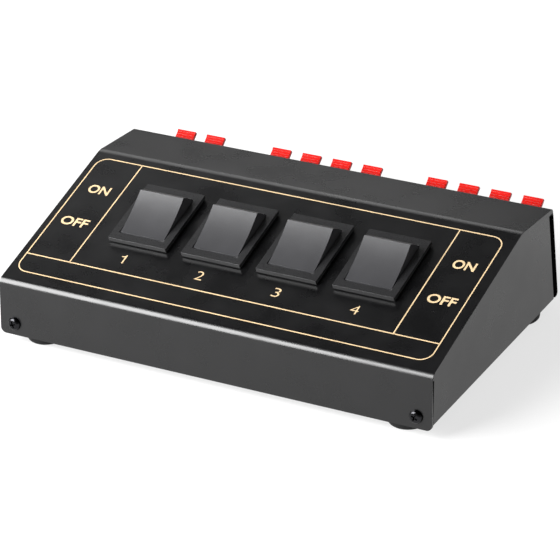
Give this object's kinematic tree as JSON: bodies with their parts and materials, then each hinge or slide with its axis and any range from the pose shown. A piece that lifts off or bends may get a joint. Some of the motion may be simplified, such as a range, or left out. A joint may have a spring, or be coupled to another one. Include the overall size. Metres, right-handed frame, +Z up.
{
  "type": "speaker selector switch",
  "caption": "Wedge-shaped steel desk box with rocker switches on its sloping panel and spring-clip lever terminals behind; routes one amplifier to several loudspeaker pairs.",
  "frame": {"origin": "bottom centre of the bounding box: on the table plane under the middle of the case", "axes": "+Z up, +X along the case's width to the right seen from the front, -Y towards the front panel"},
  "size_m": [0.185, 0.1175, 0.0476],
  "materials": {
    "powder_coated_cover": "fine satin black powder coat on folded steel sheet",
    "coated_base": "fine satin black powder coat on folded steel sheet",
    "rear_panel_plastic": "moulded black plastic, matte",
    "foot_rubber": "black moulded rubber, matte",
    "plated_screw": "zinc-plated steel",
    "black_screw": "blackened steel, semi-gloss",
    "terminal_plastic": "moulded black plastic, satin",
    "red_lever_plastic": "bright red moulded plastic, satin gloss",
    "black_lever_plastic": "black moulded plastic, satin gloss",
    "contact_brass": "stamped brass strip",
    "spring_steel": "drawn spring wire",
    "switch_housing_plastic": "moulded black nylon, fine texture",
    "rocker_plastic": "moulded charcoal plastic, satin",
    "plunger_nylon": "natural nylon",
    "tinned_blade": "tinned brass blade",
    "red_wire_pvc": "red PVC insulation",
    "white_wire_pvc": "white PVC insulation",
    "tinned_wire": "bare tinned copper wire"
  },
  "bodies": {
    "case": {"top_cover": "powder_coated_cover", "base_plate": "coated_base", "rear_panel": "rear_panel_plastic", "rubber_feet": "foot_rubber", "foot_screws": "plated_screw", "front_screws": "black_screw", "rear_screws": "black_screw", "input_terminal_board": "terminal_plastic", "output_a_terminal_board": "terminal_plastic", "output_b_terminal_board": "terminal_plastic", "terminal_board_screws": "black_screw", "input_contacts": "contact_brass", "output_a_contacts": "contact_brass", "output_b_contacts": "contact_brass", "lever_springs": "spring_steel", "switch_housing_1": "switch_housing_plastic", "switch_housing_2": "switch_housing_plastic", "switch_housing_3": "switch_housing_plastic", "switch_housing_4": "switch_housing_plastic", "switch_blades": "tinned_blade", "switched_wires": "red_wire_pvc", "feed_wires": "white_wire_pvc", "return_wire": "tinned_wire"},
    "rocker_body_1": {"rocker_1": "rocker_plastic", "plungers_1": "plunger_nylon", "rocker_springs_1": "spring_steel"},
    "arm_body_1": {"contact_arms_1": "contact_brass"},
    "rocker_body_2": {"rocker_2": "rocker_plastic", "plungers_2": "plunger_nylon", "rocker_springs_2": "spring_steel"},
    "arm_body_2": {"contact_arms_2": "contact_brass"},
    "rocker_body_3": {"rocker_3": "rocker_plastic", "plungers_3": "plunger_nylon", "rocker_springs_3": "spring_steel"},
    "arm_body_3": {"contact_arms_3": "contact_brass"},
    "rocker_body_4": {"rocker_4": "rocker_plastic", "plungers_4": "plunger_nylon", "rocker_springs_4": "spring_steel"},
    "arm_body_4": {"contact_arms_4": "contact_brass"},
    "red_lever_body_1": {"red_lever_1": "red_lever_plastic"},
    "black_lever_body_1": {"black_lever_1": "black_lever_plastic"},
    "red_lever_body_2": {"red_lever_2": "red_lever_plastic"},
    "black_lever_body_2": {"black_lever_2": "black_lever_plastic"},
    "red_lever_body_3": {"red_lever_3": "red_lever_plastic"},
    "black_lever_body_3": {"black_lever_3": "black_lever_plastic"},
    "red_lever_body_4": {"red_lever_4": "red_lever_plastic"},
    "black_lever_body_4": {"black_lever_4": "black_lever_plastic"},
    "red_lever_body_5": {"red_lever_5": "red_lever_plastic"},
    "black_lever_body_5": {"black_lever_5": "black_lever_plastic"},
    "red_lever_body_6": {"red_lever_6": "red_lever_plastic"},
    "black_lever_body_6": {"black_lever_6": "black_lever_plastic"},
    "red_lever_body_7": {"red_lever_7": "red_lever_plastic"},
    "black_lever_body_7": {"black_lever_7": "black_lever_plastic"},
    "red_lever_body_8": {"red_lever_8": "red_lever_plastic"},
    "black_lever_body_8": {"black_lever_8": "black_lever_plastic"},
    "red_lever_body_9": {"red_lever_9": "red_lever_plastic"},
    "black_lever_body_9": {"black_lever_9": "black_lever_plastic"},
    "red_lever_body_10": {"red_lever_10": "red_lever_plastic"},
    "black_lever_body_10": {"black_lever_10": "black_lever_plastic"}
  },
  "joints": [
    {"name": "rocker_tilt_1", "type": "hinge", "parent": "case", "child": "rocker_body_1", "pos_m": [-0.04795, -0.00918, 0.03548], "axis": [-1, 0, 0], "range_deg": [0, 35]},
    {"name": "arm_seesaw_1", "type": "hinge", "parent": "case", "child": "arm_body_1", "pos_m": [-0.04795, -0.00706, 0.02787], "axis": [1, 0, 0], "range_deg": [0, 14]},
    {"name": "rocker_tilt_2", "type": "hinge", "parent": "case", "child": "rocker_body_2", "pos_m": [-0.01545, -0.00918, 0.03548], "axis": [-1, 0, 0], "range_deg": [0, 35]},
    {"name": "arm_seesaw_2", "type": "hinge", "parent": "case", "child": "arm_body_2", "pos_m": [-0.01545, -0.00706, 0.02787], "axis": [1, 0, 0], "range_deg": [0, 14]},
    {"name": "rocker_tilt_3", "type": "hinge", "parent": "case", "child": "rocker_body_3", "pos_m": [0.01705, -0.00918, 0.03548], "axis": [-1, 0, 0], "range_deg": [0, 35]},
    {"name": "arm_seesaw_3", "type": "hinge", "parent": "case", "child": "arm_body_3", "pos_m": [0.01705, -0.00706, 0.02787], "axis": [1, 0, 0], "range_deg": [0, 14]},
    {"name": "rocker_tilt_4", "type": "hinge", "parent": "case", "child": "rocker_body_4", "pos_m": [0.04955, -0.00918, 0.03548], "axis": [-1, 0, 0], "range_deg": [0, 35]},
    {"name": "arm_seesaw_4", "type": "hinge", "parent": "case", "child": "arm_body_4", "pos_m": [0.04955, -0.00706, 0.02787], "axis": [1, 0, 0], "range_deg": [0, 14]},
    {"name": "red_lever_press_1", "type": "hinge", "parent": "case", "child": "red_lever_body_1", "pos_m": [-0.073, 0.04539, 0.03222], "axis": [-1, 0, 0], "range_deg": [0, 18], "stiffness_Nm_per_rad": 0.1, "springref_deg": -11.46, "deforming": ["lever_springs"]},
    {"name": "black_lever_press_1", "type": "hinge", "parent": "case", "child": "black_lever_body_1", "pos_m": [-0.073, 0.04671, 0.01547], "axis": [1, 0, 0], "range_deg": [0, 18], "stiffness_Nm_per_rad": 0.1, "springref_deg": -11.46, "deforming": ["lever_springs"]},
    {"name": "red_lever_press_2", "type": "hinge", "parent": "case", "child": "red_lever_body_2", "pos_m": [-0.05945, 0.04539, 0.03222], "axis": [-1, 0, 0], "range_deg": [0, 18], "stiffness_Nm_per_rad": 0.1, "springref_deg": -11.46, "deforming": ["lever_springs"]},
    {"name": "black_lever_press_2", "type": "hinge", "parent": "case", "child": "black_lever_body_2", "pos_m": [-0.05945, 0.04671, 0.01547], "axis": [1, 0, 0], "range_deg": [0, 18], "stiffness_Nm_per_rad": 0.1, "springref_deg": -11.46, "deforming": ["lever_springs"]},
    {"name": "red_lever_press_3", "type": "hinge", "parent": "case", "child": "red_lever_body_3", "pos_m": [-0.02905, 0.04539, 0.03222], "axis": [-1, 0, 0], "range_deg": [0, 18], "stiffness_Nm_per_rad": 0.1, "springref_deg": -11.46, "deforming": ["lever_springs"]},
    {"name": "black_lever_press_3", "type": "hinge", "parent": "case", "child": "black_lever_body_3", "pos_m": [-0.02905, 0.04671, 0.01547], "axis": [1, 0, 0], "range_deg": [0, 18], "stiffness_Nm_per_rad": 0.1, "springref_deg": -11.46, "deforming": ["lever_springs"]},
    {"name": "red_lever_press_4", "type": "hinge", "parent": "case", "child": "red_lever_body_4", "pos_m": [-0.0155, 0.04539, 0.03222], "axis": [-1, 0, 0], "range_deg": [0, 18], "stiffness_Nm_per_rad": 0.1, "springref_deg": -11.46, "deforming": ["lever_springs"]},
    {"name": "black_lever_press_4", "type": "hinge", "parent": "case", "child": "black_lever_body_4", "pos_m": [-0.0155, 0.04671, 0.01547], "axis": [1, 0, 0], "range_deg": [0, 18], "stiffness_Nm_per_rad": 0.1, "springref_deg": -11.46, "deforming": ["lever_springs"]},
    {"name": "red_lever_press_5", "type": "hinge", "parent": "case", "child": "red_lever_body_5", "pos_m": [-0.00195, 0.04539, 0.03222], "axis": [-1, 0, 0], "range_deg": [0, 18], "stiffness_Nm_per_rad": 0.1, "springref_deg": -11.46, "deforming": ["lever_springs"]},
    {"name": "black_lever_press_5", "type": "hinge", "parent": "case", "child": "black_lever_body_5", "pos_m": [-0.00195, 0.04671, 0.01547], "axis": [1, 0, 0], "range_deg": [0, 18], "stiffness_Nm_per_rad": 0.1, "springref_deg": -11.46, "deforming": ["lever_springs"]},
    {"name": "red_lever_press_6", "type": "hinge", "parent": "case", "child": "red_lever_body_6", "pos_m": [0.0116, 0.04539, 0.03222], "axis": [-1, 0, 0], "range_deg": [0, 18], "stiffness_Nm_per_rad": 0.1, "springref_deg": -11.46, "deforming": ["lever_springs"]},
    {"name": "black_lever_press_6", "type": "hinge", "parent": "case", "child": "black_lever_body_6", "pos_m": [0.0116, 0.04671, 0.01547], "axis": [1, 0, 0], "range_deg": [0, 18], "stiffness_Nm_per_rad": 0.1, "springref_deg": -11.46, "deforming": ["lever_springs"]},
    {"name": "red_lever_press_7", "type": "hinge", "parent": "case", "child": "red_lever_body_7", "pos_m": [0.04, 0.04539, 0.03222], "axis": [-1, 0, 0], "range_deg": [0, 18], "stiffness_Nm_per_rad": 0.1, "springref_deg": -11.46, "deforming": ["lever_springs"]},
    {"name": "black_lever_press_7", "type": "hinge", "parent": "case", "child": "black_lever_body_7", "pos_m": [0.04, 0.04671, 0.01547], "axis": [1, 0, 0], "range_deg": [0, 18], "stiffness_Nm_per_rad": 0.1, "springref_deg": -11.46, "deforming": ["lever_springs"]},
    {"name": "red_lever_press_8", "type": "hinge", "parent": "case", "child": "red_lever_body_8", "pos_m": [0.05355, 0.04539, 0.03222], "axis": [-1, 0, 0], "range_deg": [0, 18], "stiffness_Nm_per_rad": 0.1, "springref_deg": -11.46, "deforming": ["lever_springs"]},
    {"name": "black_lever_press_8", "type": "hinge", "parent": "case", "child": "black_lever_body_8", "pos_m": [0.05355, 0.04671, 0.01547], "axis": [1, 0, 0], "range_deg": [0, 18], "stiffness_Nm_per_rad": 0.1, "springref_deg": -11.46, "deforming": ["lever_springs"]},
    {"name": "red_lever_press_9", "type": "hinge", "parent": "case", "child": "red_lever_body_9", "pos_m": [0.0671, 0.04539, 0.03222], "axis": [-1, 0, 0], "range_deg": [0, 18], "stiffness_Nm_per_rad": 0.1, "springref_deg": -11.46, "deforming": ["lever_springs"]},
    {"name": "black_lever_press_9", "type": "hinge", "parent": "case", "child": "black_lever_body_9", "pos_m": [0.0671, 0.04671, 0.01547], "axis": [1, 0, 0], "range_deg": [0, 18], "stiffness_Nm_per_rad": 0.1, "springref_deg": -11.46, "deforming": ["lever_springs"]},
    {"name": "red_lever_press_10", "type": "hinge", "parent": "case", "child": "red_lever_body_10", "pos_m": [0.08065, 0.04539, 0.03222], "axis": [-1, 0, 0], "range_deg": [0, 18], "stiffness_Nm_per_rad": 0.1, "springref_deg": -11.46, "deforming": ["lever_springs"]},
    {"name": "black_lever_press_10", "type": "hinge", "parent": "case", "child": "black_lever_body_10", "pos_m": [0.08065, 0.04671, 0.01547], "axis": [1, 0, 0], "range_deg": [0, 18], "stiffness_Nm_per_rad": 0.1, "springref_deg": -11.46, "deforming": ["lever_springs"]}
  ],
  "couplings": [
    {"joint": "arm_seesaw_1", "follows": "rocker_tilt_1", "ratio": 0.4},
    {"joint": "arm_seesaw_2", "follows": "rocker_tilt_2", "ratio": 0.4},
    {"joint": "arm_seesaw_3", "follows": "rocker_tilt_3", "ratio": 0.4},
    {"joint": "arm_seesaw_4", "follows": "rocker_tilt_4", "ratio": 0.4}
  ]
}
